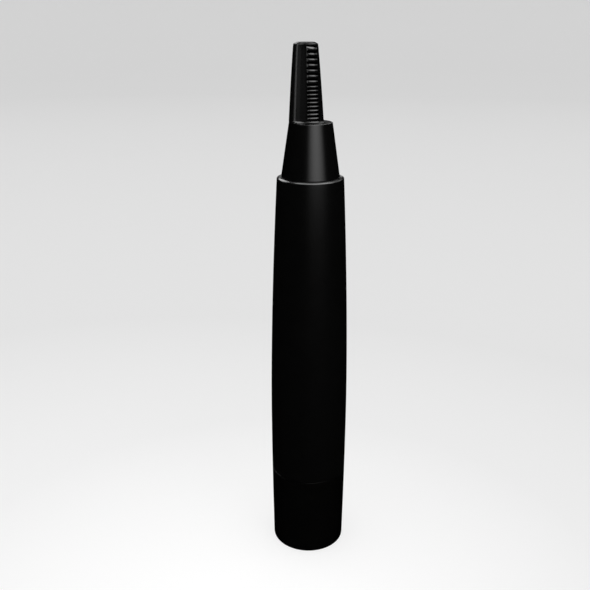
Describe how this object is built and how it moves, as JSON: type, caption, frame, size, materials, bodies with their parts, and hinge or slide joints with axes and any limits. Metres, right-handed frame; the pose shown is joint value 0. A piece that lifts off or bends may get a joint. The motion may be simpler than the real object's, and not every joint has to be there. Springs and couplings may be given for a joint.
{
  "type": "nose hair trimmer",
  "caption": "Pen-shaped battery nose hair trimmer with a slotted, off-centre tapered tip, reciprocating comb blade, pull-off head and battery cap.",
  "frame": {"origin": "centre of the battery cap's flat underside, which the trimmer stands on", "axes": "+Z along the handle towards the cutting tip, +Y towards the on/off slider, +X towards the slotted half of the tip"},
  "size_m": [0.0218, 0.0218, 0.145],
  "materials": {
    "black_plastic": "satin black moulded ABS",
    "tip_black": "glossier black moulded guard",
    "blade_steel": "black-coated blade steel",
    "frame_plastic": "grey glass-filled nylon",
    "drive_plastic": "natural acetal",
    "rubber": "black nitrile rubber",
    "spring_steel": "bright spring wire and ground shaft",
    "contact_nickel": "nickel-plated brass",
    "motor_steel": "zinc-plated steel",
    "magnet": "sintered ferrite",
    "copper": "enamelled copper",
    "cell_jacket": "plain dark green printed jacket, no text",
    "wire_red": "red insulation",
    "wire_black": "black insulation"
  },
  "bodies": {
    "handle": {"housing_shell": "black_plastic", "chassis": "frame_plastic", "top_plate": "frame_plastic", "plate_screw_front": "motor_steel", "plate_screw_rear": "motor_steel", "motor_screw_left": "motor_steel", "motor_screw_right": "motor_steel", "motor_can": "motor_steel", "motor_end_cap": "drive_plastic", "magnet_left": "magnet", "magnet_right": "magnet", "brush_left": "contact_nickel", "brush_right": "contact_nickel", "motor_terminal_left": "contact_nickel", "motor_terminal_right": "contact_nickel", "negative_strip": "contact_nickel", "positive_contact": "contact_nickel", "switch_contact": "contact_nickel", "motor_lead_positive": "wire_red", "motor_lead_negative": "wire_black", "tappet_seal": "rubber"},
    "rotor": {"motor_shaft": "spring_steel", "armature_core": "motor_steel", "armature_winding": "copper", "commutator": "copper", "drive_cam": "drive_plastic"},
    "tappet": {"tappet": "drive_plastic"},
    "switch": {"switch_knob": "black_plastic", "switch_slider": "drive_plastic", "switch_bridge": "contact_nickel"},
    "cap": {"battery_cap": "black_plastic", "cap_seal": "rubber", "negative_contact_plate": "contact_nickel", "battery_spring": "spring_steel"},
    "battery": {"aa_battery": "cell_jacket"},
    "head": {"head_cone": "black_plastic", "head_seal": "rubber", "guard_tube": "tip_black", "return_spring": "spring_steel"},
    "cutter": {"cutter_blade": "blade_steel", "blade_carrier": "drive_plastic"}
  },
  "joints": [
    {"name": "motor_spin", "type": "hinge", "parent": "handle", "child": "rotor", "pos_m": [0, 0, 0.0685], "axis": [0, 0, 1], "continuous": true},
    {"name": "cutter_stroke", "type": "slide", "parent": "head", "child": "cutter", "axis": [-0.0133, 0, 0.9999], "range_m": [-0.0005, 0.0005], "stiffness_N_per_m": 300, "deforming": ["return_spring"]},
    {"name": "tappet_stroke", "type": "slide", "parent": "handle", "child": "tappet", "axis": [0, 0, 1], "range_m": [-0.0005, 0.0005]},
    {"name": "head_pull", "type": "slide", "parent": "handle", "child": "head", "axis": [0, 0, 1], "range_m": [0, 0.025]},
    {"name": "switch_slide", "type": "slide", "parent": "handle", "child": "switch", "axis": [0, 0, 1], "range_m": [0, 0.0035]},
    {"name": "battery_cap_pull", "type": "slide", "parent": "cap", "child": "handle", "axis": [0, 0, 1], "range_m": [0, 0.075]},
    {"name": "battery_out", "type": "slide", "parent": "cap", "child": "battery", "axis": [0, 0, 1], "range_m": [0, 0.015]}
  ],
  "couplings": [
    {"joint": "tappet_stroke", "follows": "cutter_stroke", "ratio": 1},
    {"joint": "battery_out", "follows": "battery_cap_pull", "ratio": 0.2}
  ]
}
